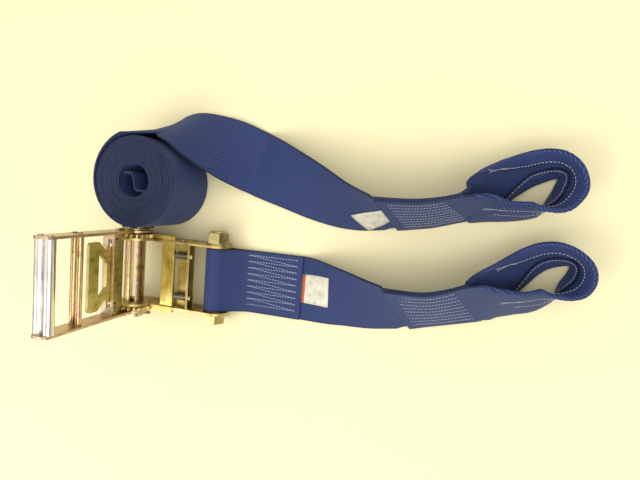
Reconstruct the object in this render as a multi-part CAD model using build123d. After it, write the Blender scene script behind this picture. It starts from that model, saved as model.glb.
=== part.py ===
from build123d import *
from math import acos, asin, atan2, cos, degrees, hypot, radians, sin
import os

# Wide-handle ratchet tie-down for 3 inch webbing, in millimetres.
# Origin: centre of the spool axis. +X runs from the spool to the anchor bolt, +Y along the spool,
# +Z up. The handle stands upright at rest, and everything lies on a floor at z = floor_z.

# webbing
web_width = 76.2
web_t = 2.5
soft_gap = 0.3          # room kept round webbing

# side frame
plate_t = 3.0
frame_inner = 79.0
spool_height = 30.0     # spool axis above the floor
spool_to_bolt = 109.0
bolt_drop = 12.5        # bolt axis below the spool axis
hub_r = 24.0
top_edge_z = 4.1
run_fit = 0.06          # radial clearance of a turning shaft
pin_fit = 0.08

# spool and ratchet wheels
spool_r = 12.5
slot_width = 6.0
slot_tilt = 30.0        # slot turned from upright towards the anchor bolt
teeth = 24
wheel_r = 27.0
tooth_depth = 4.5
wheel_t = 4.3
wheel_gap = 0.5         # wheel to frame plate
shaft_end = 58.5        # half length of the spool
cotter_r = 1.6

# pawls
pawl_t = 4.0
pawl_gap = 0.05         # pawl flat to the tooth's holding face
pawl_travel = 5.5
slide_gap = 0.2         # pawl in its slots

# lock pawl
lock_front = 40.3
lock_back = 57.4
guide_pin_r = 2.5
guide_pin_y = 25.4
guide_head_r = 3.9

# handle
handle_gap = 1.3        # wheel to handle plate
arm_width = 22.0
arm_hub_r = 21.0
grip_z = 137.5
grip_r = 5.6
grip_pitch = 12.4
rod_z = 96.0
rod_r = 3.6
rod_pitch = 7.6
stud_r = 2.6
stud_stand = 1.6        # stud heads proud of the handle plate
bracket_z = 46.0        # top of the handle bracket
bracket_front = 6.0
bracket_back = -10.0
bracket_t = 2.5
bracket_slot = 84.0

# drive pawl and its finger pull
pawl_shoulder = 34.0
neck_half = 33.0
pull_top = 80.0
pull_band = 15.0
pull_half = 40.0
pull_leg = 9.0

# anchor bolt
bolt_r = 8.0
hex_flats = 24.0
bolt_head_t = 10.0
nut_t = 13.0
washer_t = 1.6
sleeve_r = 11.0

# straps, all lengths from the bolt axis
seam_x = 106.0
label_length = 32.0
label_width = 35.0
label_t = 0.6
eye_band = 38.1         # webbing folded in half along its length
eye_t = 5.0
splice_t = 5.0
eye_gap = 0.8
ply_gap = 0.4           # between the two plies of an eye where they meet its splice
roll_x = -80.8
roll_y = 111.5
roll_r = 53.2
roll_core_r = 19.0

# places worked out from the sizes above
floor_z = -spool_height
frame_half = frame_inner / 2
frame_out = frame_half + plate_t
wheel_in = frame_out + wheel_gap
wheel_out = wheel_in + wheel_t
handle_in = wheel_out + handle_gap
handle_out = handle_in + plate_t
root_r = wheel_r - tooth_depth
tooth_face = pawl_t / 2 + pawl_gap
bolt_x = spool_to_bolt
bolt_z = -bolt_drop


def slab(sketch, y0, y1):
    """A sketch drawn in (x, z), made solid from y0 to y1."""
    return Pos(0, y1, 0) * Rot(90, 0, 0) * extrude(sketch, amount=y1 - y0, dir=(0, 0, 1))


def rod_y(r, y0, y1, x=0.0, z=0.0):
    return slab(Pos(x, z) * Circle(r), y0, y1)


def rod_x(r, x0, x1, y=0.0, z=0.0):
    return Pos((x0 + x1) / 2, y, z) * Rot(0, 90, 0) * Cylinder(r, x1 - x0)


def block(x0, x1, y0, y1, z0, z1):
    return Pos((x0 + x1) / 2, (y0 + y1) / 2, (z0 + z1) / 2) * Box(x1 - x0, y1 - y0, z1 - z0)


def polar(r, angle):
    """A point in (x, z) at an angle from upright, positive towards the bolt."""
    return (r * sin(radians(angle)), r * cos(radians(angle)))


# ---- side frame

def frame_side(side):
    end_r = bolt_z - floor_z
    toe_x = -10.0
    body = Polygon((toe_x, floor_z + 8), (toe_x + 6, floor_z), (bolt_x, floor_z), (bolt_x, bolt_z + end_r),
                   (bolt_x - 22, top_edge_z), (0, top_edge_z), align=None)
    outline = Circle(hub_r) + body + Pos(bolt_x, bolt_z) * Circle(end_r)
    outline -= Circle(spool_r + run_fit)
    outline -= Pos(bolt_x, bolt_z) * Circle(bolt_r + 0.1)
    slot_x0 = lock_front - slide_gap
    slot_x1 = lock_back + pawl_travel + slide_gap
    slot_h = pawl_t + 2 * slide_gap
    outline -= Pos((slot_x0 + slot_x1) / 2, 0) * Rectangle(slot_x1 - slot_x0, slot_h)
    y0 = frame_half if side > 0 else -frame_out
    return slab(outline, y0, y0 + plate_t)


def pawl_bracket():
    """Angle riveted between the side plates: it guides the pawl pins and backs their springs."""
    base_z = -8.0
    back = flange_x + plate_t
    profile = Rectangle(back - 60.0, plate_t, align=(Align.MIN, Align.MIN))
    profile = Pos(60.0, base_z) * profile
    profile += Pos(flange_x, base_z) * Rectangle(plate_t, top_edge_z - 0.4 - base_z, align=(Align.MIN, Align.MIN))
    bracket = slab(profile, -frame_half, frame_half)
    for y in (-guide_pin_y, guide_pin_y):
        bracket -= rod_x(guide_pin_r + pin_fit, flange_x - 1, back + 1, y)
    return bracket


def bracket_rivets():
    """Rivet heads outside the plates, two a side, that hold the pawl bracket."""
    heads = []
    for side in (-1, 1):
        for x in (64.0, 74.0):
            y0 = frame_out if side > 0 else -frame_out - 1.2
            heads.append(rod_y(2.6, y0, y0 + 1.2, x, -6.5))
    return heads


def hexagon():
    return RegularPolygon(hex_flats / 2, 6, major_radius=False)


def anchor_bolt():
    head_y = -frame_out - washer_t
    head = slab(Pos(bolt_x, bolt_z) * hexagon(), head_y - bolt_head_t, head_y)
    head &= chamfered_disc(head_y - bolt_head_t, head_y, -1)
    shank = rod_y(bolt_r, head_y - 1, frame_out + washer_t + nut_t + 1.5, bolt_x, bolt_z)
    return head + shank


def chamfered_disc(y0, y1, side):
    """Turned blank of a hex head or nut: its outer rim is bevelled."""
    r = hex_flats / 2 / cos(radians(30))
    disc = rod_y(r, y0, y1, bolt_x, bolt_z)
    rim = disc.edges().filter_by(GeomType.CIRCLE).sort_by(Axis.Y)
    return chamfer(rim[0] if side < 0 else rim[-1], 1.2)


def anchor_nut():
    y0 = frame_out + washer_t
    nut = slab(Pos(bolt_x, bolt_z) * hexagon(), y0, y0 + nut_t)
    nut &= chamfered_disc(y0, y0 + nut_t, 1)
    return nut - rod_y(bolt_r + 0.05, y0 - 1, y0 + nut_t + 1, bolt_x, bolt_z)


def anchor_washers():
    ring = Pos(bolt_x, bolt_z) * (Circle(14.0) - Circle(bolt_r + 0.1))
    return [slab(ring, frame_out, frame_out + washer_t), slab(ring, -frame_out - washer_t, -frame_out)]


def anchor_sleeve():
    ring = Pos(bolt_x, bolt_z) * (Circle(sleeve_r) - Circle(bolt_r + 0.1))
    return slab(ring, -frame_half + slide_gap, frame_half - slide_gap)


# ---- spool

def wheel_profile():
    """Saw-tooth ring. Each holding face is parallel to the flat of a pawl that meets it."""
    face_root = degrees(acos(tooth_face / root_r))
    face_tip = degrees(acos(tooth_face / wheel_r))
    pitch = 360 / teeth
    land = 3.0
    points = []
    for tooth in range(teeth):
        turn = tooth * pitch
        points.append(polar(root_r, face_root + turn))
        points.append(polar(root_r, face_root + land + turn))
        points.append(polar(wheel_r, face_tip + pitch - land + turn))
        points.append(polar(wheel_r, face_tip + pitch + turn))
    return Polygon(*points, align=None)


def spool_section(r, slot):
    """The two half-rounds of the spool, with the webbing slot between them."""
    return Rot(0, 0, -slot_tilt) * (Circle(r) - Rectangle(slot, 4 * r))


def half_round(front):
    """One half of the spool. The front half is the one nearer the anchor bolt."""
    side = 1 if front else -1
    half = Circle(spool_r) & Pos(side * (slot_width / 2 + spool_r), 0) * Rectangle(2 * spool_r, 2 * spool_r)
    body = slab(Rot(0, 0, -slot_tilt) * half, -shaft_end, shaft_end)
    for y in (-cotter_y, cotter_y):
        body -= Rot(0, slot_tilt, 0) * rod_x(cotter_r + pin_fit, -20, 20, y)
    ends = body.faces().sort_by(Axis.Y)
    return chamfer(ends[0].edges() + ends[-1].edges(), 0.8)


def ratchet_wheel(side):
    profile = wheel_profile() - spool_section(spool_r + run_fit, slot_width - 2 * run_fit)
    y0 = wheel_in if side > 0 else -wheel_out
    return slab(profile, y0, y0 + wheel_t)


def hub_washers():
    ring = Circle(16.5) - Circle(spool_r + pin_fit)
    y0 = handle_out + soft_gap
    return [slab(ring, y0, y0 + washer_t), slab(ring, -y0 - washer_t, -y0)]


def cotter_pins():
    pins = []
    for y in (-cotter_y, cotter_y):
        pin = rod_x(cotter_r, -17.0, 16.0, y) + Pos(17.6, y, 0) * Rot(90, 0, 0) * Torus(2.6, 1.3)
        pins.append(Rot(0, slot_tilt, 0) * pin)
    return pins


# ---- lock pawl

def lock_pawl():
    """Flat plate through both side plates. Its two wings reach the wheels outside them."""
    half = pawl_t / 2
    wing_in = frame_out + soft_gap
    body = block(lock_front, lock_back, -wheel_out - 0.9, wheel_out + 0.9, -half, half)
    tip = Polygon((root_r + 0.25, half), (root_r + 0.25, half - 1.05), (root_r + 3.1, -half),
                  (lock_front + 1, -half), (lock_front + 1, half), align=None)
    for side in (-1, 1):
        y0 = wing_in if side > 0 else -wheel_out - 0.9
        body += slab(tip, y0, y0 + wheel_out + 0.9 - wing_in)
        body += Pos(lock_front + 5.5, side * 33.5, half) * Cylinder(1.9, 1.6)
    upright = [e for e in body.edges().filter_by(Axis.Z) if abs(e.center().Y) > wheel_out and e.center().X > lock_front + 5]
    return fillet(upright, 2.5)


def lock_pawl_pins():
    """Two headed pins behind the pawl. Their heads meet the bracket when the pawl is home."""
    pins = []
    head_x = flange_x + plate_t + soft_gap
    for y in (-guide_pin_y, guide_pin_y):
        pin = rod_x(guide_pin_r, lock_back, head_x + 1, y)
        head = rod_x(guide_head_r, head_x, head_x + 3.2, y)
        pins.append(pin + chamfer(head.edges().filter_by(GeomType.CIRCLE).sort_by(Axis.X)[-1], 0.8))
    return pins


def lock_springs():
    """Envelopes of the two coil springs on the guide pins."""
    springs = []
    for y in (-guide_pin_y, guide_pin_y):
        x0, x1 = lock_back + 0.1, flange_x - 0.1
        springs.append(rod_x(guide_pin_r + 1.9, x0, x1, y) - rod_x(guide_pin_r + 0.5, x0 - 1, x1 + 1, y))
    return springs


# ---- handle

def handle_side(side):
    top_z = grip_z + grip_r + 3.4
    arm = Pos(0, top_z / 2) * Rectangle(arm_width, top_z)
    arm = fillet(arm.vertices().group_by(Axis.Y)[-1], arm_width / 2 - 3)
    outline = Circle(arm_hub_r) + arm
    outline -= Circle(spool_r + run_fit)
    slot_z0 = wheel_base - soft_gap
    slot_z1 = pawl_shoulder + pawl_travel + soft_gap
    outline -= Pos(0, (slot_z0 + slot_z1) / 2) * Rectangle(pawl_t + 2 * slide_gap, slot_z1 - slot_z0)
    for x, z, r in stud_places():
        outline -= Pos(x, z) * Circle(stud_r + 0.05)
    y0 = handle_in if side > 0 else -handle_out
    return slab(outline, y0, y0 + plate_t)


def stud_places():
    """Every cross bar of the handle: x, z and radius."""
    return [(-grip_pitch / 2, grip_z, grip_r), (grip_pitch / 2, grip_z, grip_r),
            (-rod_pitch / 2, rod_z, rod_r), (rod_pitch / 2, rod_z, rod_r)]


def cross_bar(x, z, r):
    """A bar shouldered between the plates, with a stud through each."""
    end = handle_out + stud_stand
    bar = rod_y(r, -handle_in, handle_in, x, z) + rod_y(stud_r, -end, end, x, z)
    tips = bar.edges().filter_by(GeomType.CIRCLE).sort_by(Axis.Y)
    return chamfer([tips[0], tips[-1]], 0.6)


def handle_bracket():
    """Flat bracket between the handle plates. The finger pull passes through its slot."""
    depth = bracket_front - bracket_back
    plate = Pos((bracket_front + bracket_back) / 2, 0) * Rectangle(depth, 2 * handle_in)
    plate -= Rectangle(pawl_t + 2 * slide_gap + 0.4, bracket_slot)
    return Pos(0, 0, bracket_z - bracket_t) * extrude(plate, amount=bracket_t)


# ---- drive pawl

def drive_pawl():
    """One stamped plate: pawl below the bracket, finger pull above it."""
    wing = handle_out + 2.6
    body = Pos(0, (wheel_base + pawl_shoulder) / 2) * Rectangle(2 * wing, pawl_shoulder - wheel_base)
    body = fillet(body.vertices(), 1.5)
    neck_top = bracket_z + pawl_travel
    body += Pos(0, (pawl_shoulder + neck_top) / 2) * Rectangle(2 * neck_half, neck_top - pawl_shoulder + 1)
    for side in (-1, 1):
        body += Pos(side * spring_y, pawl_shoulder + 2) * Rectangle(2.6, 5.0)
    body += pull_outline(neck_top)
    plate = Plane.YZ * extrude(body, amount=pawl_t / 2, both=True)
    for side in (-1, 1):
        y0, y1 = sorted((side * (wheel_in - soft_gap), side * (wheel_out + soft_gap)))
        plate -= block(-pawl_t, pawl_t, y0, y1, wheel_base - 1, wheel_r + 0.4)
        plate += pawl_tip(y0, y1)
    return plate


def pull_outline(neck_top):
    """Finger pull: a band across the top on two legs that splay at 45 degrees."""
    half = pull_half
    band_z = pull_top - pull_band
    knee = half - (band_z - neck_top)
    outer = Polygon((-knee, neck_top - 2), (knee, neck_top - 2), (knee, neck_top), (half, band_z), (half, pull_top),
                    (-half, pull_top), (-half, band_z), (-knee, neck_top), align=None)
    outer = fillet(outer.vertices().group_by(Axis.Y)[-1], 4.0)
    inner = knee - pull_leg * 1.4
    hole = Polygon((-inner, neck_top), (inner, neck_top), (inner + band_z - neck_top, band_z),
                   (-inner - band_z + neck_top, band_z), align=None)
    return outer - fillet(hole.vertices(), 1.5)


def pawl_tip(y0, y1):
    """Wedge of the drive pawl over one wheel, cut to lie in a tooth gap."""
    half = pawl_t / 2
    top = wheel_r + 0.5
    tip = Polygon((-half, root_r + 0.25), (half - 2.95, root_r + 0.25), (half, root_r + 3.1), (half, top),
                  (-half, top), align=None)
    return slab(tip, y0, y1)


def drive_springs():
    """Envelopes of the two coil springs between the pawl's shoulders and the bracket."""
    z0, z1 = pawl_shoulder + 0.1, bracket_z - bracket_t - 0.1
    ring = Circle(3.6) - Circle(2.65)
    spring = Pos(0, 0, z0) * extrude(ring, amount=z1 - z0)
    return [Pos(0, -spring_y, 0) * spring, Pos(0, spring_y, 0) * spring]


# ---- webbing

def station(x, y, heading, tilt, width, thick, lift=0.0, shift=0.0):
    """Cross-section of webbing, standing on the floor on its lower edge.

    x and y are its middle, heading its direction, tilt the slope across it (positive raises its
    left edge, past 90 it leans to the right). lift moves it out of its face and shift along its width."""
    h, t = radians(heading), radians(tilt)
    along = Vector(cos(h), sin(h), 0)
    across = Vector(-sin(h) * cos(t), cos(h) * cos(t), sin(t))
    face = along.cross(across)
    stand_width, stand_thick = (width, thick) if lift == 0.0 else (web_width, web_t)
    z = floor_z + stand_width / 2 * abs(sin(t)) + stand_thick / 2 * abs(cos(t))
    middle = Vector(bolt_x + x, y, z) + face * lift + across * shift
    corners = [middle + across * (a * width / 2) + face * (b * thick / 2)
               for a, b in ((-1, -1), (1, -1), (1, 1), (-1, 1))]
    return make_face(Polyline(*corners, close=True))


def ribbon(stations, width, thick, lift=0.0, shift=0.0):
    """Webbing through stations of (x, y, heading, tilt), straight between them."""
    return loft([station(*s, width, thick, lift, shift) for s in stations], ruled=True)


fixed_start = (seam_x, 0.0, 0.0, 0.0)
fixed_splice_start = (222.0, -3.5, 3.0, 48.0)
fixed_splice_end = (302.0, 15.0, 20.0, 52.0)
fixed_run = [fixed_start, (130.0, -0.5, -2.0, 10.0), (155.0, -1.5, -4.0, 23.0), (185.0, -3.5, -3.0, 34.0),
             fixed_splice_start]
fixed_splice = [fixed_splice_start, (262.0, 2.5, 12.0, 55.0), fixed_splice_end]

long_start = (roll_x, roll_y + roll_r + web_t / 2 + soft_gap + 1.6, 4.0, -88.0)
long_splice_start = (205.0, 98.5, 3.0, 62.0)
long_splice_end = (283.0, 112.0, 18.0, 68.0)
long_run = [long_start, (-62.0, 176.0, 2.0, -74.0), (-45.0, 176.5, -12.0, -56.0),
            (-25.0, 171.0, -18.0, -44.0), (0.0, 161.0, -24.0, -30.0),
            (35.0, 145.5, -22.0, 0.0), (75.0, 131.5, -20.0, 18.0), (115.0, 116.5, -20.0, 31.0),
            (155.0, 103.5, -12.0, 46.0), long_splice_start]
long_splice = [long_splice_start, (245.0, 102.5, 9.0, 66.0), long_splice_end]

# bands of the eyes, from the front ply of the splice, round and back: x, y, heading, lean, width
fixed_band = [(313.0, 12.8, 0.0, 50.0, 74.0), (324.0, 11.0, 5.0, 46.0, 64.0), (337.0, 14.0, 16.0, 44.0, 50.0),
              (353.0, 19.5, 22.0, 45.0, eye_band), (370.0, 27.5, 30.0, 55.0, eye_band),
              (386.0, 38.5, 44.0, 85.0, eye_band), (396.0, 49.0, 60.0, 112.0, eye_band),
              (400.0, 59.0, 92.0, 122.0, eye_band), (396.0, 68.0, 135.0, 125.0, eye_band),
              (385.0, 73.0, 172.0, 128.0, eye_band), (368.0, 71.0, 192.0, 132.0, eye_band),
              (352.0, 64.0, 210.0, 132.0, 44.0), (336.0, 52.0, 222.0, 131.0, 56.0),
              (322.0, 38.0, 226.0, 129.0, 68.0), (311.0, 26.0, 222.0, 128.0, web_width)]
long_band = [(296.0, 111.5, -2.0, 68.0, 70.0), (308.0, 110.0, -3.0, 69.0, 58.0), (321.0, 109.5, 3.0, 71.0, 46.0),
             (337.0, 111.0, 10.0, 72.0, eye_band), (352.0, 114.5, 22.0, 74.0, eye_band),
             (366.0, 122.5, 40.0, 88.0, eye_band), (376.0, 133.0, 52.0, 110.0, eye_band),
             (383.0, 145.0, 72.0, 122.0, eye_band), (384.0, 155.0, 115.0, 124.0, eye_band),
             (376.0, 162.0, 160.0, 122.0, eye_band), (364.0, 163.5, 182.0, 124.0, eye_band),
             (349.0, 160.5, 198.0, 128.0, 40.0), (333.0, 152.5, 212.0, 128.0, 48.0),
             (317.0, 141.5, 216.0, 122.0, 62.0), (302.0, 129.5, 219.0, 116.0, 74.0)]


def strap_loop():
    """Webbing round the anchor sleeve, sewn to itself as far as the seam."""
    r0 = sleeve_r + soft_gap
    r1 = r0 + web_t
    wrap = Circle(r1) - Circle(r0)
    low = floor_z - bolt_z
    lean = 62.0
    top_out, top_in = polar(r1, lean), polar(r0, lean)
    join_x = 42.0
    upper = Polygon(top_out, top_in, (join_x, low + web_t), (seam_x, low + web_t), (seam_x, low + 2 * web_t),
                    (join_x + 2, low + 2 * web_t), align=None)
    under_out, under_in = polar(r1, 168.0), polar(r0, 168.0)
    lower = Polygon(under_out, under_in, (22.0, low + web_t), (seam_x, low + web_t), (seam_x, low), (20.0, low),
                    align=None)
    wrap -= Polygon((0, 0), polar(4 * r1, lean), (4 * r1, -4 * r1), polar(4 * r1, 168.0), align=None)
    return slab(Pos(bolt_x, bolt_z) * (wrap + upper + lower), -web_width / 2, web_width / 2)


def strap_eye(end, band):
    """Eye of folded webbing, from the front ply of its splice round to the back one."""
    x, y, heading, tilt = end
    h = radians(heading)
    x, y = x + eye_gap * cos(h), y + eye_gap * sin(h)
    ply = web_t / 2 + ply_gap / 2
    front = station(x, y, heading, tilt, web_width, web_t)
    offset_dir = Vector(sin(h) * sin(radians(tilt)), -cos(h) * sin(radians(tilt)), cos(radians(tilt)))
    back = station(x, y, heading + 180, 180 - tilt, web_width, web_t)
    sections = [Pos(*(offset_dir * ply)) * front]
    for bx, by, bh, lean, width in band:
        folded = (web_width - width) / (web_width - eye_band)
        sections.append(station(bx, by, bh, lean, width, web_t + folded * (eye_t - web_t)))
    sections.append(Pos(*(offset_dir * -ply)) * back)
    return loft(sections, ruled=True)


def fixed_label():
    """Label sewn on just beyond the seam, lying along the webbing."""
    at = [(seam_x + 0.5, 0.0, 0.0, 0.2), (130.0, -0.5, -2.0, 10.0), (seam_x + label_length, -0.8, -2.6, 14.0)]
    return ribbon(at, label_width, label_t, lift=web_t / 2 + label_t / 2 + 0.4, shift=1.0)


def long_label():
    """Label sewn to the face of the long strap, at the start of its splice."""
    at = [(168.0, 102.2, -8.1, 50.2), (196.0, 99.4, 0.3, 59.1)]
    return ribbon(at, 24.0, label_t, lift=web_t / 2 + label_t / 2 + 0.5, shift=-22.0)


def strap_roll():
    """Rolled end of the long strap, standing on its edge."""
    ring = extrude(Circle(roll_r) - Circle(roll_core_r), amount=web_width)
    return Pos(bolt_x + roll_x, roll_y, floor_z) * ring


cotter_y = handle_out + soft_gap + washer_t + cotter_r + 0.2
wheel_base = hub_r + 0.6      # lowest line of the drive pawl between the wheels
flange_x = 77.0               # upright flange of the pawl bracket
spring_y = 39.0               # drive springs, from the middle of the handle

parts = {
    "frame_side_left": frame_side(1),
    "frame_side_right": frame_side(-1),
    "pawl_bracket": pawl_bracket(),
    "bracket_rivets": bracket_rivets(),
    "anchor_bolt": anchor_bolt(),
    "anchor_nut": anchor_nut(),
    "anchor_washers": anchor_washers(),
    "anchor_sleeve": anchor_sleeve(),
    "lock_pawl": lock_pawl(),
    "lock_pawl_pins": lock_pawl_pins(),
    "lock_springs": lock_springs(),
    "spool_half_front": half_round(True),
    "spool_half_rear": half_round(False),
    "ratchet_wheel_left": ratchet_wheel(1),
    "ratchet_wheel_right": ratchet_wheel(-1),
    "hub_washers": hub_washers(),
    "cotter_pins": cotter_pins(),
    "handle_side_left": handle_side(1),
    "handle_side_right": handle_side(-1),
    "handle_bracket": handle_bracket(),
    "drive_pawl": drive_pawl(),
    "drive_springs": drive_springs(),
    "fixed_strap_loop": strap_loop(),
    "fixed_strap_run": ribbon(fixed_run, web_width, web_t),
    "fixed_strap_splice": ribbon(fixed_splice, web_width, splice_t),
    "fixed_strap_eye": strap_eye(fixed_splice_end, fixed_band),
    "fixed_label": fixed_label(),
    "strap_roll": strap_roll(),
    "long_strap_run": ribbon(long_run, web_width, web_t),
    "long_strap_splice": ribbon(long_splice, web_width, splice_t),
    "long_strap_eye": strap_eye(long_splice_end, long_band),
    "long_label": long_label(),
}
for name, (x, z, r) in zip(("grip_tube_rear", "grip_tube_front", "handle_rod_rear", "handle_rod_front"),
                           stud_places()):
    parts[name] = cross_bar(x, z, r)

os.makedirs("parts", exist_ok=True)
for name, shape in parts.items():
    solids = shape if isinstance(shape, list) else [shape]
    bodies = [body for solid in solids for body in solid.solids()]
    export_step(bodies[0] if len(bodies) == 1 else Compound(children=bodies), f"parts/{name}.step")
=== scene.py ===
import bisect
import bpy
import bmesh
import math
import random
from mathutils import Euler, Matrix, Vector


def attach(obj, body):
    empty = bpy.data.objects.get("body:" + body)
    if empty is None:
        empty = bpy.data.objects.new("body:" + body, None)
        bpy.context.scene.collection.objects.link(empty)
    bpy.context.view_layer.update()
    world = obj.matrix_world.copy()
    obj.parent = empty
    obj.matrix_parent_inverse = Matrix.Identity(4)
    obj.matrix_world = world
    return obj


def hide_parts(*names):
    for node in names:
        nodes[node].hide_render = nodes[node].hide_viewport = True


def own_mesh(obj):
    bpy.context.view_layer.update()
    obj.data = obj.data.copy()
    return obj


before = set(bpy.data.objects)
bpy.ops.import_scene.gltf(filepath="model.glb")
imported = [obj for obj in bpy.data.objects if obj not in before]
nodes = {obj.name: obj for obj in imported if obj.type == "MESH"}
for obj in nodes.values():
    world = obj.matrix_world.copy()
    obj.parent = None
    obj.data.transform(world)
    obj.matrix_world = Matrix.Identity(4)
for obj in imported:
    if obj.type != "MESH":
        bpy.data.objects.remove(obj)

random.seed(7)
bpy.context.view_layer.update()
mm = 0.001

# shared sizes in mm, measured from the spool axis
ratchet = {"floorZ": -30.0, "boltX": 109.0, "boltZ": -12.5}
floorZ = ratchet["floorZ"]


def newPiece(name, bm, body, material):
    bmesh.ops.recalc_face_normals(bm, faces=bm.faces)
    mesh = bpy.data.meshes.new(name)
    bm.to_mesh(mesh)
    bm.free()
    for face in mesh.polygons:
        face.use_smooth = True
    piece = bpy.data.objects.new(name, mesh)
    bpy.context.scene.collection.objects.link(piece)
    mesh.materials.append(material)
    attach(piece, body)
    return piece


# short ways to write a material's nodes
class Nodes:
    def __init__(self, name):
        self.material = bpy.data.materials.new(name)
        self.material.use_nodes = True
        self.tree = self.material.node_tree
        self.shader = self.tree.nodes["Principled BSDF"]

    def add(self, kind, **settings):
        node = self.tree.nodes.new(kind)
        for key, value in settings.items():
            setattr(node, key, value)
        return node

    def link(self, source, target):
        self.tree.links.new(source, target)

    def value(self, operation, *inputs, clamp=False):
        node = self.add("ShaderNodeMath", operation=operation, use_clamp=clamp)
        for socket, given in zip(node.inputs, inputs):
            if hasattr(given, "links"):
                self.link(given, socket)
            else:
                socket.default_value = given
        return node.outputs[0]

    def ramp(self, source, stops):
        node = self.add("ShaderNodeValToRGB")
        while len(node.color_ramp.elements) < len(stops):
            node.color_ramp.elements.new(0.5)
        for element, (position, colour) in zip(node.color_ramp.elements, stops):
            element.position = position
            element.color = (*colour, 1)
        self.link(source, node.inputs["Fac"])
        return node.outputs["Color"]

    def wave(self, source, pitch):
        turned = self.value("MULTIPLY", source, 2 * math.pi / pitch)
        return self.value("MULTIPLY", self.value("ADD", self.value("SINE", turned), 1.0), 0.5)

    # inputs 0, 6 and 7 are the factor and the two colours, output 2 is the mixed colour
    def mix(self, factor, first, second):
        node = self.add("ShaderNodeMix", data_type="RGBA")
        self.link(factor, node.inputs[0])
        self.link(first, node.inputs[6])
        node.inputs[7].default_value = (*second, 1)
        return node.outputs[2]

    def noise(self, source, scale, detail=3.0, rough=0.5, stretch=(1, 1, 1)):
        mapping = self.add("ShaderNodeMapping")
        mapping.inputs["Scale"].default_value = stretch
        self.link(source, mapping.inputs["Vector"])
        node = self.add("ShaderNodeTexNoise")
        node.inputs["Scale"].default_value = scale
        node.inputs["Detail"].default_value = detail
        node.inputs["Roughness"].default_value = rough
        self.link(mapping.outputs[0], node.inputs["Vector"])
        return node.outputs["Fac"]


# noise scales are per metre, edge and relief are in mm, darkest and toneSpan place the tones on the ramp
plating = {"cloud": 38.0, "cloudShare": 0.62, "drift": 130.0, "driftShare": 0.38, "darkest": 0.34,
           "toneSpan": 0.32, "edge": 0.7, "edgeGain": 6.0, "patch": 210.0, "patchGain": 1.5, "dull": 75.0,
           "glossier": 0.12, "dullSpan": 0.26, "grain": 900.0, "relief": 0.12}


# tones run from the darkest patch to the brightest (on the bars they also carry painted reflection bands), wear
# is the colour of rubbed edges
def zinc(name, tones, rough, streak, wear, bump=0.25, edged=True):
    n = Nodes(name)
    where = n.add("ShaderNodeTexCoord").outputs["Object"]
    cloud = n.noise(where, plating["cloud"], 4.0, 0.6)
    drift = n.noise(where, plating["drift"], 3.0, 0.55, streak)
    blend = n.value("ADD", n.value("MULTIPLY", cloud, plating["cloudShare"]),
                    n.value("MULTIPLY", drift, plating["driftShare"]))
    spread = len(tones) - 1
    stops = [(plating["darkest"] + plating["toneSpan"] * i / spread, tone) for i, tone in enumerate(tones)]
    colour = n.ramp(blend, stops)
    relief = n.add("ShaderNodeBump")
    if edged:
        edge = n.add("ShaderNodeBevel", samples=6)
        edge.inputs["Radius"].default_value = plating["edge"] * mm
        flat = n.add("ShaderNodeNewGeometry").outputs["Normal"]
        dot = n.add("ShaderNodeVectorMath", operation="DOT_PRODUCT")
        n.link(edge.outputs[0], dot.inputs[0])
        n.link(flat, dot.inputs[1])
        turned = n.value("SUBTRACT", 1.0, dot.outputs["Value"])
        rubbed = n.value("MULTIPLY", turned, plating["edgeGain"], clamp=True)
        patch = n.value("MULTIPLY", n.noise(where, plating["patch"], 2.0), plating["patchGain"])
        colour = n.mix(n.value("MULTIPLY", rubbed, patch, clamp=True), colour, wear)
        n.link(edge.outputs[0], relief.inputs["Normal"])
    n.link(colour, n.shader.inputs["Base Color"])
    dull = n.value("MULTIPLY", n.noise(where, plating["dull"], 5.0, 0.65), plating["dullSpan"])
    n.link(n.value("ADD", rough - plating["glossier"], dull), n.shader.inputs["Roughness"])
    grain = n.noise(where, plating["grain"], 2.0, 0.5, streak)
    relief.inputs["Strength"].default_value = bump
    relief.inputs["Distance"].default_value = plating["relief"] * mm
    n.link(grain, relief.inputs["Height"])
    n.link(relief.outputs[0], n.shader.inputs["Normal"])
    n.shader.inputs["Metallic"].default_value = 1.0
    return n.material


# a twill whose ribs run slantwise, crossed by straight picks, its grooves darkened as painted shade and both
# edges darkened as painted shade, in metres
weave = {"slantAlong": 0.66, "slantAcross": 0.75, "ribPitch": 0.0023, "pickPitch": 0.0022, "ribShare": 0.72,
         "pickShare": 0.28, "selvedge": 0.0364, "selvedgeShadeGain": 1400.0, "selvedgeShadeShare": 0.7}


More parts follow.
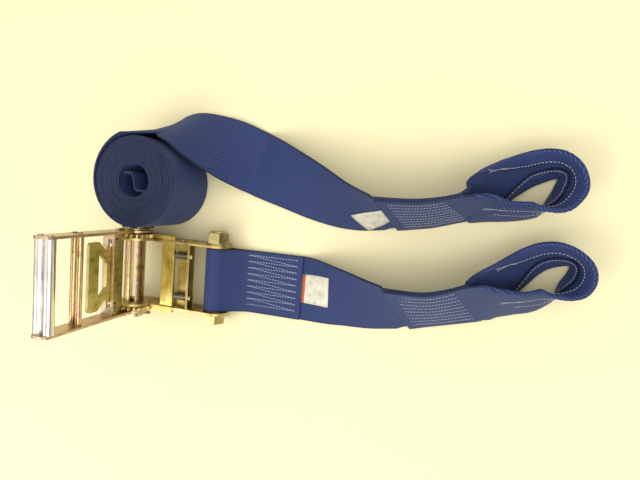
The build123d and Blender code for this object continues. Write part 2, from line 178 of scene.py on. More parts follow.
# cloth attribute: x across the webbing and y along it, in metres
def webbingMaterial():
    n = Nodes("blueWebbing")
    cloth = n.add("ShaderNodeAttribute", attribute_name="cloth").outputs["Vector"]
    split = n.add("ShaderNodeSeparateXYZ")
    n.link(cloth, split.inputs[0])
    across, along = split.outputs[0], split.outputs[1]
    slant = n.value("SUBTRACT", n.value("MULTIPLY", along, weave["slantAlong"]),
                    n.value("MULTIPLY", across, weave["slantAcross"]))
    rib = n.value("MULTIPLY", n.wave(slant, weave["ribPitch"]), weave["ribShare"])
    pick = n.value("MULTIPLY", n.wave(across, weave["pickPitch"]), weave["pickShare"])
    height = n.value("ADD", rib, pick)
    where = n.add("ShaderNodeTexCoord").outputs["Object"]
    cloud = n.noise(where, 22.0, 3.0)
    # the weave's rib and pick pattern, with its grooves darkened as painted shade
    lit = n.ramp(height, [(0.12, (0.008, 0.013, 0.048)), (0.5, (0.019, 0.036, 0.142)),
                          (0.9, (0.046, 0.084, 0.262))])
    tint = n.mix(n.value("MULTIPLY", cloud, 0.35), lit, (0.026, 0.036, 0.125))
    # painted shade: the last mm at each edge is mixed towards near-black blue, standing in for the shade on the
    # webbing's edges
    beyond = n.value("SUBTRACT", n.value("ABSOLUTE", across), weave["selvedge"])
    rim = n.value("MULTIPLY", n.value("MULTIPLY", beyond, weave["selvedgeShadeGain"], clamp=True),
                  weave["selvedgeShadeShare"])
    n.link(n.mix(rim, tint, (0.009, 0.013, 0.036)), n.shader.inputs["Base Color"])
    relief = n.add("ShaderNodeBump")
    relief.inputs["Strength"].default_value = 0.8
    relief.inputs["Distance"].default_value = 0.5 * mm
    n.link(height, relief.inputs["Height"])
    n.link(relief.outputs[0], n.shader.inputs["Normal"])
    n.shader.inputs["Roughness"].default_value = 0.62
    n.shader.inputs["Specular IOR Level"].default_value = 0.28
    n.shader.inputs["Sheen Weight"].default_value = 0.1
    n.shader.inputs["Sheen Roughness"].default_value = 0.45
    n.shader.inputs["Sheen Tint"].default_value = (0.62, 0.72, 0.95, 1.0)
    return n.material


def threadMaterial():
    n = Nodes("whiteThread")
    where = n.add("ShaderNodeTexCoord").outputs["Object"]
    twist = n.noise(where, 1500.0, 2.0)
    n.link(n.ramp(twist, [(0.3, (0.30, 0.33, 0.42)), (0.7, (0.62, 0.64, 0.70))]), n.shader.inputs["Base Color"])
    n.shader.inputs["Roughness"].default_value = 0.6
    return n.material


# weave and stripe in metres from the striped end
labelFace = {"weave": 0.0009, "stripeFrom": 0.0012, "stripeTo": 0.0052}


# cloth attribute: x across the label and y along it, in metres, from the striped end
def labelMaterial():
    n = Nodes("labelCloth")
    cloth = n.add("ShaderNodeAttribute", attribute_name="cloth").outputs["Vector"]
    split = n.add("ShaderNodeSeparateXYZ")
    n.link(cloth, split.inputs[0])
    rate = 2 * math.pi / labelFace["weave"]
    height = n.value("MULTIPLY", n.value("SINE", n.value("MULTIPLY", split.outputs[1], rate)),
                     n.value("SINE", n.value("MULTIPLY", split.outputs[0], rate)))
    worn = n.noise(cloth, 120.0, 4.0, 0.6)
    ground = n.ramp(worn, [(0.35, (0.55, 0.52, 0.42)), (0.7, (0.80, 0.78, 0.68))])
    stripe = n.value("MULTIPLY", n.value("LESS_THAN", split.outputs[1], labelFace["stripeTo"]),
                     n.value("GREATER_THAN", split.outputs[1], labelFace["stripeFrom"]))
    n.link(n.mix(stripe, ground, (0.52, 0.12, 0.045)), n.shader.inputs["Base Color"])
    relief = n.add("ShaderNodeBump")
    relief.inputs["Strength"].default_value = 0.3
    relief.inputs["Distance"].default_value = 0.1 * mm
    n.link(height, relief.inputs["Height"])
    n.link(relief.outputs[0], n.shader.inputs["Normal"])
    n.shader.inputs["Roughness"].default_value = 0.7
    return n.material


# tones, roughness, stretch of the streaks, colour of rubbed edges
plateGold = zinc("plateGold", [(0.16, 0.10, 0.035), (0.34, 0.23, 0.08), (0.50, 0.38, 0.13),
                               (0.62, 0.50, 0.22), (0.52, 0.36, 0.26)],
                 0.36, (1, 0.25, 1), (0.72, 0.66, 0.48))
pawlGold = zinc("pawlGold", [(0.30, 0.21, 0.05), (0.52, 0.40, 0.10), (0.66, 0.54, 0.18), (0.72, 0.60, 0.26)],
                0.32, (1, 0.2, 1), (0.80, 0.74, 0.52))
# a darker copy of the plate gold for the pawl bracket: painted shade, for the bracket lying in shadow between
# the frame sides
shadedBracketGold = zinc("shadedBracketGold", [(0.16, 0.11, 0.03), (0.30, 0.22, 0.07), (0.40, 0.31, 0.11),
                                   (0.46, 0.38, 0.16)],
                   0.42, (1, 0.2, 1), (0.66, 0.58, 0.36))
pullGold = zinc("pullGold", [(0.26, 0.22, 0.07), (0.46, 0.40, 0.15), (0.56, 0.50, 0.22), (0.50, 0.36, 0.20)],
                0.40, (1, 1, 0.3), (0.46, 0.28, 0.14))
# the bars' tones run from near-black to cream in bands along the axis: part plating streaks, part painted
# reflection bands and highlights
barGoldWithPaintedReflections = zinc("barGoldWithPaintedReflections", [(0.07, 0.03, 0.02), (0.36, 0.20, 0.11), (0.62, 0.50, 0.22), (0.50, 0.26, 0.22),
                           (0.84, 0.78, 0.52)],
               0.22, (2.6, 0.06, 2.6), (0.84, 0.78, 0.56), 0.02, edged=False)
fastenerGold = zinc("fastenerGold", [(0.20, 0.15, 0.06), (0.46, 0.38, 0.16), (0.62, 0.54, 0.27)],
                    0.30, (1, 1, 1), (0.80, 0.74, 0.52))
handlePink = zinc("handlePink", [(0.24, 0.15, 0.08), (0.46, 0.32, 0.20), (0.56, 0.42, 0.30),
                                 (0.50, 0.44, 0.24)],
                  0.36, (1, 1, 0.3), (0.74, 0.66, 0.52))
gripBright = zinc("gripBright", [(0.46, 0.42, 0.40), (0.68, 0.64, 0.62), (0.82, 0.80, 0.78)],
                  0.20, (2, 0.05, 2), (0.90, 0.88, 0.86), 0.01, edged=False)
springWire = zinc("springWire", [(0.16, 0.14, 0.10), (0.42, 0.38, 0.28)],
                  0.34, (1, 1, 1), (0.62, 0.58, 0.46))

finishes = {
    "frame_side_left": plateGold, "frame_side_right": plateGold, "pawl_bracket": shadedBracketGold,
    "bracket_rivets": fastenerGold, "anchor_bolt": fastenerGold, "anchor_nut": fastenerGold,
    "anchor_washers": fastenerGold, "anchor_sleeve": plateGold, "lock_pawl": pawlGold,
    "lock_pawl_pins": fastenerGold, "spool_half_front": barGoldWithPaintedReflections, "spool_half_rear": barGoldWithPaintedReflections,
    "ratchet_wheel_left": plateGold, "ratchet_wheel_right": plateGold, "hub_washers": fastenerGold,
    "cotter_pins": springWire, "handle_side_left": handlePink, "handle_side_right": handlePink,
    "grip_tube_rear": gripBright, "grip_tube_front": gripBright, "handle_rod_rear": barGoldWithPaintedReflections,
    "handle_rod_front": barGoldWithPaintedReflections, "handle_bracket": handlePink, "drive_pawl": pullGold,
}
for name, material in finishes.items():
    mesh = nodes[name].data
    mesh.materials.clear()
    mesh.materials.append(material)
print("finishes set on", len(finishes), "nodes")


# in mm: band is the width once both edges are folded in, curl is the least crease left at a flat edge,
# a cut end runs slantwise over the last cutReach
webbing = {"width": 76.2, "thick": 2.4, "band": 38.1, "foldRadius": 1.35, "curl": 2.2, "rowStep": 4.0,
           "plyShift": 1.35, "floorGap": 0.05, "leastGap": 0.03, "cutReach": 24, "edgeRound": 0.5}

# x and y from the anchor bolt, lean of the webbing, folds of its low and high edge, ply shift
fixedStations = [
    (106.0, 0.0, 0.0, 0.0, 0.0, 0.0), (118.0, -0.2, 4.0, 0.0, 0.0, 0.0),
    (130.0, -0.5, 10.0, 0.0, 0.0, 0.0), (155.0, -1.5, 23.0, 0.0, 0.0, 0.0),
    (185.0, -3.5, 34.0, 0.0, 0.0, 0.0), (212.0, -3.8, 44.0, 0.0, 0.0, 0.3),
    (224.0, -3.4, 48.5, 0.0, 0.0, 1.0), (262.0, 2.5, 55.0, 0.0, 0.0, 1.0),
    (302.0, 15.0, 52.0, 0.0, 0.0, 1.0), (312.0, 26.0, 50.0, 0.1, 0.12, 0.5),
    (321.0, 35.5, 50.0, 0.3, 0.35, 0.1), (330.0, 44.0, 49.0, 0.52, 0.58, 0.0),
    (339.0, 52.0, 45.0, 0.75, 0.8, 0.0), (349.0, 61.2, 42.0, 0.92, 0.96, 0.0),
    (361.0, 69.0, 45.0, 1.0, 1.0, 0.0), (374.0, 73.0, 52.0, 1.0, 1.0, 0.0),
    (386.0, 72.5, 63.0, 1.0, 1.0, 0.0), (395.0, 68.5, 71.0, 1.0, 1.0, 0.0),
    (399.5, 62.5, 70.0, 1.0, 1.0, 0.0), (400.5, 55.0, 66.0, 1.0, 1.0, 0.0),
    (398.5, 47.5, 64.0, 1.0, 1.0, 0.0), (393.5, 40.2, 67.0, 1.0, 1.0, 0.0),
    (386.5, 34.6, 79.0, 1.0, 1.0, 0.0), (379.0, 30.3, 97.0, 1.0, 1.0, 0.0),
    (371.0, 27.0, 113.0, 1.0, 1.0, 0.0), (362.5, 24.0, 124.0, 0.85, 1.0, 0.0),
    (350.5, 21.2, 122.0, 0.62, 1.0, 0.0), (339.0, 19.4, 123.0, 0.42, 0.92, 0.0),
    (327.5, 18.0, 123.5, 0.22, 0.65, 0.1), (315.0, 16.2, 126.0, 0.06, 0.25, 0.5),
    (302.0, 15.0, 128.0, 0.0, 0.0, 1.0), (262.0, 2.5, 125.0, 0.0, 0.0, 1.0),
    (224.0, -3.4, 131.5, 0.0, 0.0, 1.0),
]
longStations = [
    (-62.0, 179.5, -69.0, 0.0, 0.0, 0.0), (-45.0, 177.8, -57.0, 0.0, 0.0, 0.0),
    (-25.0, 171.0, -44.0, 0.0, 0.0, 0.0), (0.0, 161.0, -29.0, 0.0, 0.0, 0.0),
    (35.0, 145.5, -3.0, 0.0, 0.0, 0.0), (75.0, 131.5, 18.0, 0.0, 0.0, 0.0),
    (115.0, 116.5, 31.0, 0.0, 0.0, 0.0), (155.0, 103.5, 46.0, 0.0, 0.0, 0.0),
    (190.0, 97.6, 60.0, 0.0, 0.0, 0.2), (205.0, 97.0, 65.0, 0.0, 0.0, 1.0),
    (245.0, 101.0, 69.0, 0.0, 0.0, 1.0), (283.0, 110.8, 70.5, 0.0, 0.0, 1.0),
    (292.0, 119.5, 62.0, 0.1, 0.12, 0.5), (302.0, 128.5, 55.0, 0.3, 0.35, 0.1),
    (313.0, 137.2, 50.0, 0.54, 0.6, 0.0), (325.5, 146.0, 44.0, 0.8, 0.84, 0.0),
    (341.5, 155.0, 40.0, 1.0, 1.0, 0.0), (357.0, 160.3, 49.0, 1.0, 1.0, 0.0),
    (368.5, 160.8, 59.0, 1.0, 1.0, 0.0), (377.0, 157.0, 68.0, 1.0, 1.0, 0.0),
    (381.0, 151.0, 68.0, 1.0, 1.0, 0.0), (382.0, 144.0, 60.0, 1.0, 1.0, 0.0),
    (380.5, 136.5, 56.0, 1.0, 1.0, 0.0), (377.0, 128.5, 60.0, 1.0, 1.0, 0.0),
    (371.5, 121.3, 66.0, 1.0, 1.0, 0.0), (364.0, 116.4, 80.0, 1.0, 1.0, 0.0),
    (355.5, 113.2, 98.0, 1.0, 1.0, 0.0), (347.0, 111.6, 109.0, 1.0, 1.0, 0.0),
    (337.5, 110.6, 112.0, 0.88, 1.0, 0.0), (321.5, 110.0, 112.0, 0.6, 1.0, 0.0),
    (309.0, 110.4, 113.0, 0.35, 0.8, 0.0), (296.5, 110.9, 112.0, 0.1, 0.35, 0.5),
    (283.0, 110.8, 109.5, 0.0, 0.0, 1.0), (245.0, 101.0, 111.0, 0.0, 0.0, 1.0),
    (205.0, 97.0, 115.0, 0.0, 0.0, 1.0),
]


# distance of the fold line from the webbing's middle
def creaseAt(fold):
    return webbing["width"] / 2 - max(webbing["curl"], fold * (webbing["width"] - webbing["band"]) / 2)


def foldTurn(fold):
    return math.pi * min(1.0, fold * 4)


# Catmull-Rom step between two stations
def easeThrough(before, start, end, after, t):
    return [0.5 * (2 * b + (c - a) * t + (2 * a - 5 * b + 4 * c - d) * t * t
                   + (3 * b - a - 3 * c + d) * t ** 3)
            for a, b, c, d in zip(before, start, end, after)]


# a row is its middle, its direction across and how far its low and its high edge are folded in
def stationRows(stations):
    rows = []
    last = len(stations) - 1
    for i in range(last):
        around = [stations[max(0, i - 1)], stations[i], stations[i + 1], stations[min(last, i + 2)]]
        span = math.dist(stations[i][:2], stations[i + 1][:2])
        steps = max(2, round(span / webbing["rowStep"]))
        for k in range(steps + (i == last - 1)):
            rows.append(easeThrough(*around, k / steps))
    done = []
    for i, (x, y, lean, low, high, shift) in enumerate(rows):
        back, ahead = rows[max(0, i - 1)], rows[min(len(rows) - 1, i + 1)]
        heading = math.atan2(ahead[1] - back[1], ahead[0] - back[0])
        t = math.radians(lean)
        across = Vector((-math.sin(heading) * math.cos(t), math.cos(heading) * math.cos(t), math.sin(t)))
        along = Vector((math.cos(heading), math.sin(heading), 0))
        face = along.cross(across)
        folds = (min(1.0, max(0.0, low)), min(1.0, max(0.0, high)))
        crease = creaseAt(folds[0])
        r = webbing["foldRadius"]
        turn = foldTurn(folds[0])
        flap = webbing["width"] / 2 - crease
        bent = min(flap, turn * r)
        reach = crease + r * math.sin(min(bent / r, math.pi / 2)) + max(0.0, (flap - bent) * math.cos(turn))
        standing = reach * abs(math.sin(t)) + webbing["thick"] / 2 * (1 + shift) * abs(math.cos(t))
        middle = Vector((ratchet["boltX"] + x, y, floorZ + standing + webbing["floorGap"]))
        done.append((middle - face * shift * webbing["plyShift"], across, folds))
    return done


# top ply back to the anchor sleeve, round it and out along the floor
def loopRows(loop):
    radius = loop["radius"]
    centreHeight = ratchet["boltZ"]
    top = floorZ + 1.5 * webbing["thick"] + loop["topGap"]
    low = floorZ + webbing["thick"] / 2 + webbing["floorGap"]
    start, end = loop["wrapFrom"], loop["wrapTo"]
    path = []
    for k in range(loop["runSteps"]):
        path.append((loop["seam"] + (loop["join"] - loop["seam"]) * k / loop["runSteps"], top))
    lift = radius * math.cos(math.radians(start)) + centreHeight - top
    reach = radius * math.sin(math.radians(start)) - loop["join"]
    for k in range(loop["riseSteps"]):
        t = k / loop["riseSteps"]
        path.append((loop["join"] + reach * t, top + lift * t * t * (1.6 - 0.6 * t)))
    for k in range(loop["wrapSteps"] + 1):
        a = math.radians(start + (end - start) * k / loop["wrapSteps"])
        path.append((radius * math.sin(a), centreHeight + radius * math.cos(a)))
    for k in range(1, loop["landSteps"] + 1):
        t = k / loop["landSteps"]
        path.append((radius * math.sin(math.radians(end)) + loop["landing"] * t,
                     centreHeight + radius * math.cos(math.radians(end)) * (1 - t) + (low - centreHeight) * t))
    spot = path[-1][0]
    for k in range(1, loop["runSteps"]):
        path.append((spot + (loop["seam"] - spot) * k / loop["runSteps"], low))
    return [(Vector((ratchet["boltX"] + x, 0, z)), Vector((0, 1, 0)), (0.0, 0.0)) for x, z in path]


# S-shaped inner end, then the spiral outwards, with its last part looser
def rollRows(roll):
    rows = []
    height = floorZ + webbing["width"] / 2 + webbing["floorGap"]
    centre = Vector((ratchet["boltX"] + roll["x"], roll["y"], height))
    down = Vector((0, 0, -1))
    flat = (0.0, 0.0)
    finish = math.radians(roll["leaves"])
    begin = finish + 2 * math.pi * roll["turns"]
    direction = Vector((math.cos(begin), math.sin(begin), 0))
    side = Vector((direction.y, -direction.x, 0))
    for k in range(roll["tailSteps"] - 1):
        t = k / roll["tailSteps"]
        swing = math.sin(2 * math.pi * t) * roll["tailSwing"]
        inward = roll["core"] * (roll["tailReach"] * t - roll["tailBack"])
        rows.append((centre + direction * inward - side * swing, down, flat))
    total = round(roll["turns"] * roll["turnSteps"])
    for k in range(total + 1):
        t = k / total
        angle = begin - 2 * math.pi * roll["turns"] * t
        radius = roll["core"] + (roll["radius"] - roll["core"]) * t
        loose = max(0.0, (t * roll["turns"] - roll["turns"] + roll["looseTurn"]) / roll["looseTurn"])
        radius += roll["looseLast"] * loose ** 1.5
        wobble = roll["wobble"] * math.sin(angle * roll["wobbleRate"]) * (1 - loose)
        spot = Vector((math.cos(angle) * radius, math.sin(angle) * radius, max(0.0, wobble)))
        rows.append((centre + spot, down, flat))
    return rows


# one long sheet of webbing: its rows stand square to the path, and both edges fold where fold says
def layWebbing(name, rows, body, replaced, cut):
    half = webbing["width"] / 2
    columns = len(marksAcross(rows[0][2]))
    bm = bmesh.new()
    cloth = bm.verts.layers.float_vector.new("cloth")
    bmesh.ops.create_grid(bm, x_segments=columns - 1, y_segments=len(rows) - 1, size=1)
    order = sorted(bm.verts, key=lambda v: (round(v.co.y, 6), round(v.co.x, 6)))
    travelled = 0.0
    frames = []
    fromEnd = [0.0]
    for first, second in zip(rows[::-1], rows[-2::-1]):
        fromEnd.append(fromEnd[-1] + (first[0] - second[0]).length)
    fromEnd.reverse()
    for i, (middle, across, fold) in enumerate(rows):
        back, ahead = rows[max(0, i - 1)][0], rows[min(len(rows) - 1, i + 1)][0]
        along = (ahead - back).normalized()
        across = (across - along * across.dot(along)).normalized()
        if i:
            travelled += (middle - rows[i - 1][0]).length
        frames.append((middle, across, along.cross(across), fold, travelled))
        for k, u in enumerate(marksAcross(fold)):
            vert = order[i * columns + k]
            slip = -cut * u / half * max(0.0, 1 - fromEnd[i] / webbing["cutReach"])
            vert.co = (webbingPoint(frames[-1], u) + along * slip) * mm
            vert[cloth] = Vector((u, travelled + slip, 0)) * mm
    piece = newPiece(name, bm, body, webbingBlue)
    wall = piece.modifiers.new("thickness", "SOLIDIFY")
    wall.thickness = webbing["thick"] * mm
    wall.offset = 0
    rounding = piece.modifiers.new("edges", "BEVEL")
    rounding.width = webbing["edgeRound"] * mm
    rounding.segments = 2
    rounding.limit_method = "ANGLE"
    rounding.angle_limit = math.radians(60)
    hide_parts(*replaced)
    print(name, "is", round(travelled), "mm long")
    return frames


# the sheet's columns keep to the two fold lines
def marksAcross(folds):
    sides = []
    for fold in folds:
        crease = creaseAt(fold)
        flap = webbing["width"] / 2 - crease
        bend = min(math.pi * webbing["foldRadius"], 0.75 * flap)
        past = [crease + bend + (flap - bend) * 0.5, crease + flap]
        sides.append([crease + bend * k / 4 for k in range(5)] + past)
    low, high = sides
    span = [-low[0] + (low[0] + high[0]) * k / 6 for k in range(1, 6)]
    return [-u for u in reversed(low)] + span + high


# point u across the webbing and above its middle layer, never under the floor
def webbingPoint(rowFrame, u, above=0.0):
    middle, across, face, folds, _ = rowFrame
    fold = folds[1] if u > 0 else folds[0]
    crease = creaseAt(fold)
    r = webbing["foldRadius"]
    side = 1 if u > 0 else -1
    extra = abs(u) - crease
    if extra <= 0 or fold < 1e-4:
        point = middle + across * u + face * above
    else:
        turn = foldTurn(fold)
        bent = min(extra, turn * r)
        a = bent / r
        rest = extra - bent
        out = crease + r * math.sin(a) + rest * math.cos(turn)
        up = r * (1 - math.cos(a)) + rest * math.sin(turn)
        point = middle + across * side * (out - above * math.sin(a)) + face * (up + above * math.cos(a))
    half = webbing["thick"] / 2
    point.z = max(point.z, floorZ + half + webbing["leastGap"] + max(0.0, abs(above) - half))
    return point


webbingBlue = webbingMaterial()
threadWhite = threadMaterial()
labelWhite = labelMaterial()
# mm and degrees, x from the anchor bolt
anchorLoop = {"seam": 106.0, "join": 44.0, "radius": 12.6, "wrapFrom": 62.0, "wrapTo": -172.0, "landing": 24.0,
              "topGap": 0.15, "runSteps": 16, "riseSteps": 8, "wrapSteps": 24, "landSteps": 7}
strapRoll = {"x": -80.8, "y": 111.5, "core": 19.5, "radius": 53.0, "turns": 12.6, "leaves": 112.0,
             "looseLast": 4.5, "looseTurn": 0.34, "tailSwing": 6.0, "tailReach": 1.7, "tailBack": 0.8,
             "tailSteps": 17, "turnSteps": 48, "wobble": 0.5, "wobbleRate": 0.37}

fixedRows = loopRows(anchorLoop) + stationRows(fixedStations)
fixedFrames = layWebbing(
    "fixed_strap_webbing", fixedRows, "fixed_strap",
    ("fixed_strap_loop", "fixed_strap_run", "fixed_strap_splice", "fixed_strap_eye"), cut=-7.0)
longRows = rollRows(strapRoll) + stationRows(longStations)
longFrames = layWebbing(
    "long_strap_webbing", longRows, "loose_strap",
    ("strap_roll", "long_strap_run", "long_strap_splice", "long_strap_eye"), cut=-6.0)


# dashes of thread lying on the webbing, and the back-tacked ends where a seam stops
sewing = {"radius": 0.42, "stitch": 2.5, "pitch": 3.5, "above": 1.3, "splicePitch": 3.1, "stray": 0.15}
backTack = {"stitches": 4, "step": 1.8, "reach": 4.2, "pitch": 2.6, "radius": 0.4, "endRadius": 0.3,
            "swings": (0.16, -0.1)}
outer = -sewing["above"]


# point and outward direction at s mm along the path and u mm across
def clothSpot(frames, s, u, above):
    s = min(max(s, frames[0][4]), frames[-1][4])
    i = min(bisect.bisect_right(frames, s, key=lambda row: row[4]), len(frames) - 1) - 1
    step = (s - frames[i][4]) / max(1e-6, frames[i + 1][4] - frames[i][4])
    spot = webbingPoint(frames[i], u, above).lerp(webbingPoint(frames[i + 1], u, above), step)
    deeper = webbingPoint(frames[i], u, above * 0.4).lerp(webbingPoint(frames[i + 1], u, above * 0.4), step)
    outward = spot - deeper
    return spot, outward.normalized() if outward.length > 1e-4 else Vector((0, 0, 1))


def addStitch(threads, start, end, outward, radius):
    reach = end - start
    if reach.length < 0.3:
        return
    side = reach.cross(outward).normalized()
    up = side.cross(reach).normalized()
    turn = Matrix((side, up, reach.normalized())).transposed().to_4x4()
    turn.translation = (start + end) / 2 * mm
    threads.append(turn @ Matrix.Diagonal((radius * mm, radius * 0.8 * mm, reach.length / 2 * mm, 1)))


# every stitch is the same small bead, stretched along its thread
def sewnPiece(name, threads, body):
    bead = bmesh.new()
    bmesh.ops.create_uvsphere(bead, u_segments=6, v_segments=6, radius=1)
    points = [vert.co.copy() for vert in bead.verts]
    sides = [[vert.index for vert in face.verts] for face in bead.faces]
    bead.free()
    mesh = bpy.data.meshes.new(name + "_beads")
    beads = [turn @ point for turn in threads for point in points]
    faces = [[i + len(points) * k for i in side] for k in range(len(threads)) for side in sides]
    mesh.from_pydata(beads, [], faces)
    bm = bmesh.new()
    bm.from_mesh(mesh)
    bpy.data.meshes.remove(mesh)
    print(name, "has", len(threads), "stitches")
    return newPiece(name, bm, body, threadWhite)


# start and end are (s, u)
def sewLine(threads, frames, start, end, above, pitch=sewing["pitch"], radius=sewing["radius"]):
    length = math.dist(start, end)
    count = max(1, round(length / pitch))
    for k in range(count):
        ends = []
        for t in (k / count, (k + sewing["stitch"] / sewing["pitch"]) / count):
            s = start[0] + (end[0] - start[0]) * t
            u = start[1] + (end[1] - start[1]) * t
            ends.append(clothSpot(frames, s, u + random.uniform(-sewing["stray"], sewing["stray"]), above))
        addStitch(threads, ends[0][0], ends[1][0], ends[0][1] + ends[1][1], radius)


# back-tacked stitches with two loose ends
def sewTail(threads, frames, s, u, above, heading, length):
    for k in range(backTack["stitches"]):
        start = (s + heading * backTack["step"] * k, u - 0.5 + 0.35 * k)
        end = (s + heading * (backTack["step"] * k + backTack["reach"]), u - 0.3 + 0.3 * k)
        sewLine(threads, frames, start, end, above * 1.25, backTack["pitch"], backTack["radius"])
    for swing in backTack["swings"]:
        spots = []
        for k in range(6):
            t = k / 5
            away = u + swing * length * t * t
            spots.append(clothSpot(frames, s - heading * length * t, away, above * (1.2 + 0.5 * t)))
        for first, second in zip(spots, spots[1:]):
            reach = (second[0] - first[0]) * 0.12
            addStitch(threads, first[0], second[0] + reach, first[1], backTack["endRadius"])


zigzag = {"rows": 9, "from": 6.0, "to": 70.0, "top": 32.6, "bottom": -28.3}
threads = []
gap = (zigzag["top"] - zigzag["bottom"]) / (zigzag["rows"] - 1)
for i in range(zigzag["rows"]):
    level = zigzag["top"] - gap * i
    sewLine(threads, fixedFrames, (zigzag["from"], level), (zigzag["to"], level), outer)
    if i < zigzag["rows"] - 1:
        sewLine(threads, fixedFrames, (zigzag["to"], level), (zigzag["from"], level - gap), outer)


# rows over the last ply, measured back from its cut end
def sewSplice(threads, frames, block):
    total = frames[-1][4]
    for i in range(block["rows"]):
        t = i / (block["rows"] - 1)
        u = block["top"] + (block["bottom"] - block["top"]) * t
        first = total - (block["nearTop"] + (block["nearBottom"] - block["nearTop"]) * t)
        last = total - (block["farTop"] + (block["farBottom"] - block["farTop"]) * t)
        sewLine(threads, frames, (first, u), (last, u), outer, sewing["splicePitch"])


# the two free edges sewn down, seen as one line on each side of the band's middle
def sewEye(threads, frames, eye):
    start, end = eye["from"], eye["to"]
    flap, band = eye["flap"], eye["band"]
    for side in (1, -1):
        sewLine(threads, frames, (start, side * flap), (end, side * flap), outer)
        sewLine(threads, frames, (start, side * band), (end, side * band), outer)
    sewTail(threads, frames, start, flap, outer, 1, eye["startTail"])
    sewTail(threads, frames, end, band, outer, -1, eye["endTail"])


fixedSplice = {"rows": 9, "top": 32.0, "bottom": -29.0, "nearTop": 6.0, "nearBottom": 13.0, "farTop": 65.0,
               "farBottom": 77.0}
longSplice = {"rows": 9, "top": 31.0, "bottom": -28.0, "nearTop": 6.0, "nearBottom": 16.0, "farTop": 64.0,
              "farBottom": 78.0}
fixedEye = {"from": 508.0, "to": 672.0, "flap": 35.6, "band": 6.4, "startTail": 13, "endTail": 15}
longEye = {"from": 3370.0, "to": 3546.0, "flap": 35.6, "band": 6.4, "startTail": 13, "endTail": 15}
sewSplice(threads, fixedFrames, fixedSplice)
sewEye(threads, fixedFrames, fixedEye)
sewnPiece("fixed_strap_stitching", threads, "fixed_strap")
threads = []
sewSplice(threads, longFrames, longSplice)
sewEye(threads, longFrames, longEye)
sewnPiece("long_strap_stitching", threads, "loose_strap")


# cloth tags on the webbing, corners as (s, u) in mm
labels = {"thick": 0.35, "lift": 1.5, "steps": 8, "overhang": 0.25,
          "fixedCorners": [(260.6, 17.0), (260.6, -17.0), (297.5, -16.5), (301.0, 21.5)],
          "longCorners": [(3250.0, 14.0), (3252.0, -15.0), (3224.0, -37.6), (3207.0, -12.0)]}


# corners run along the striped edge and then back along the plain one
def layLabel(name, frames, corners, body, replaced):
    n = labels["steps"]
    bm = bmesh.new()
    cloth = bm.verts.layers.float_vector.new("cloth")
    bmesh.ops.create_grid(bm, x_segments=n, y_segments=n, size=0.5)
    a, b, c, d = [Vector(corner) for corner in corners]
    wide, long = (b - a).length, (d - a).length
    for vert in bm.verts:
        x, y = vert.co.x + 0.5, vert.co.y + 0.5
        spot = a.lerp(b, x).lerp(d.lerp(c, x), y)
        past = max(0.0, abs(spot.y) - webbing["width"] / 2)
        vert.co = clothSpot(frames, spot.x, spot.y, labels["lift"] + labels["overhang"] * past)[0] * mm
        vert[cloth] = Vector((x * wide, y * long, 0)) * mm
    piece = newPiece(name, bm, body, labelWhite)
    wall = piece.modifiers.new("thickness", "SOLIDIFY")
    wall.thickness = labels["thick"] * mm
    wall.offset = 0
    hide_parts(replaced)
    print(name, round(wide), "x", round(long), "mm")


layLabel("fixed_strap_label", fixedFrames, labels["fixedCorners"], "fixed_strap", "fixed_label")
layLabel("long_strap_label", longFrames, labels["longCorners"], "loose_strap", "long_label")

# coil springs round the guide pins and over the drive pawl
lockSpring = {"y": 25.4, "from": 57.6, "to": 76.8, "mean": 3.75, "wire": 0.68, "turns": 7}
driveSpring = {"y": 39.0, "from": 34.2, "to": 43.3, "mean": 3.1, "wire": 0.5, "turns": 5}
coil = {"wireSides": 8, "turnSteps": 18}


# a wire circle swept round the axis
def addCoil(bm, start, axis, length, spring):
    axis = Vector(axis)
    side = Vector((0, 1, 0)) if abs(axis.y) < 0.5 else Vector((1, 0, 0))
    spin = side.cross(axis)
    ring = bmesh.ops.create_circle(bm, segments=coil["wireSides"], radius=spring["wire"] * mm,
                                   cap_ends=False)
    turn = Matrix((side, axis, spin)).transposed().to_4x4()
    turn.translation = (Vector(start) + side * spring["mean"] + axis * spring["wire"]) * mm
    bmesh.ops.transform(bm, matrix=turn, verts=ring["verts"])
    edges = list({edge for vert in ring["verts"] for edge in vert.link_edges})
    steps = spring["turns"] * coil["turnSteps"]
    rise = (length - 2 * spring["wire"]) / steps
    swept = bmesh.ops.spin(bm, geom=ring["verts"] + edges, cent=Vector(start) * mm, axis=axis,
                           dvec=axis * rise * mm, angle=2 * math.pi * spring["turns"], steps=steps)
    last = [item for item in swept["geom_last"] if isinstance(item, bmesh.types.BMEdge)]
    for border in (edges, last):
        bmesh.ops.contextual_create(bm, geom=border)


bm = bmesh.new()
length = lockSpring["to"] - lockSpring["from"]
for side in (1, -1):
    addCoil(bm, (lockSpring["from"], side * lockSpring["y"], 0), (1, 0, 0), length, lockSpring)
lockCoils = newPiece("lock_coil_springs", bm, "frame", springWire)
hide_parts("lock_springs")
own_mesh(lockCoils)
bm = bmesh.new()
length = driveSpring["to"] - driveSpring["from"]
for side in (1, -1):
    addCoil(bm, (0, side * driveSpring["y"], driveSpring["from"]), (0, 0, 1), length, driveSpring)
driveCoils = newPiece("drive_coil_springs", bm, "handle", springWire)
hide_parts("drive_springs")
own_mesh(driveCoils)
print("springs wound")

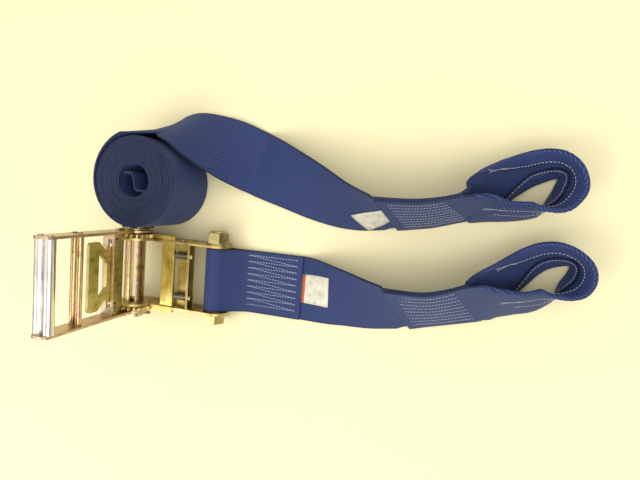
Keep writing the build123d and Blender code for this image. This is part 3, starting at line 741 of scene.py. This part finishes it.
# floor, light and camera, in metres; glow is the room's brightness from below up to overhead
studio = {"floorHalf": 4.0, "floorMiddle": 0.2, "aim": (0.25, 0.08, 0), "strength": 1.15,
          "glow": [(0.05, 0.30), (0.32, 0.42), (0.52, 1.15), (0.95, 0.92)]}
table = Nodes("paleTable")
table.shader.inputs["Base Color"].default_value = (0.88, 0.81, 0.53, 1)
table.shader.inputs["Roughness"].default_value = 0.8
table.shader.inputs["Specular IOR Level"].default_value = 0.1
bm = bmesh.new()
bmesh.ops.create_grid(bm, x_segments=1, y_segments=1, size=studio["floorHalf"])
bmesh.ops.translate(bm, verts=bm.verts, vec=(studio["floorMiddle"], 0.0, floorZ * mm))
floorMesh = bpy.data.meshes.new("floor")
bm.to_mesh(floorMesh)
bm.free()
floor = bpy.data.objects.new("floor", floorMesh)
bpy.context.scene.collection.objects.link(floor)
floorMesh.materials.append(table.material)

world = bpy.data.worlds.new("room")
bpy.context.scene.world = world
world.use_nodes = True
room = world.node_tree
skyward = room.nodes.new("ShaderNodeSeparateXYZ")
room.links.new(room.nodes.new("ShaderNodeTexCoord").outputs["Generated"], skyward.inputs[0])
walls = room.nodes.new("ShaderNodeValToRGB")
while len(walls.color_ramp.elements) < len(studio["glow"]):
    walls.color_ramp.elements.new(0.5)
for element, (height, glow) in zip(walls.color_ramp.elements, studio["glow"]):
    element.position = height
    element.color = (glow, glow * 0.97, glow * 0.88, 1)
room.links.new(skyward.outputs["Z"], walls.inputs["Fac"])
room.links.new(walls.outputs["Color"], room.nodes["Background"].inputs["Color"])
room.nodes["Background"].inputs["Strength"].default_value = studio["strength"]


def addLight(name, location, size, power, colour):
    lamp = bpy.data.lights.new(name, "AREA")
    lamp.size = size
    lamp.energy = power
    lamp.color = colour
    holder = bpy.data.objects.new(name, lamp)
    bpy.context.scene.collection.objects.link(holder)
    holder.location = location
    towards = Vector(studio["aim"]) - Vector(location)
    holder.rotation_euler = towards.to_track_quat("-Z", "Y").to_euler()


addLight("keyLight", (-0.55, -0.75, 1.25), 0.8, 8.5, (1.0, 0.97, 0.90))
addLight("fillLight", (1.2, -0.3, 1.5), 1.2, 7.0, (1.0, 0.98, 0.94))

view = bpy.data.cameras.new("view")
view.lens = 27.592
view.sensor_width = 36
view.clip_start = 0.01
eye = bpy.data.objects.new("view", view)
bpy.context.scene.collection.objects.link(eye)
eye.location = (0.39934, 0.11485, 0.51930)
eye.rotation_euler = Euler((-0.0722, 0.3016, 0.0812), "XYZ")
bpy.context.scene.camera = eye
bpy.context.scene.view_settings.view_transform = "Standard"
print("floor, light and camera set")
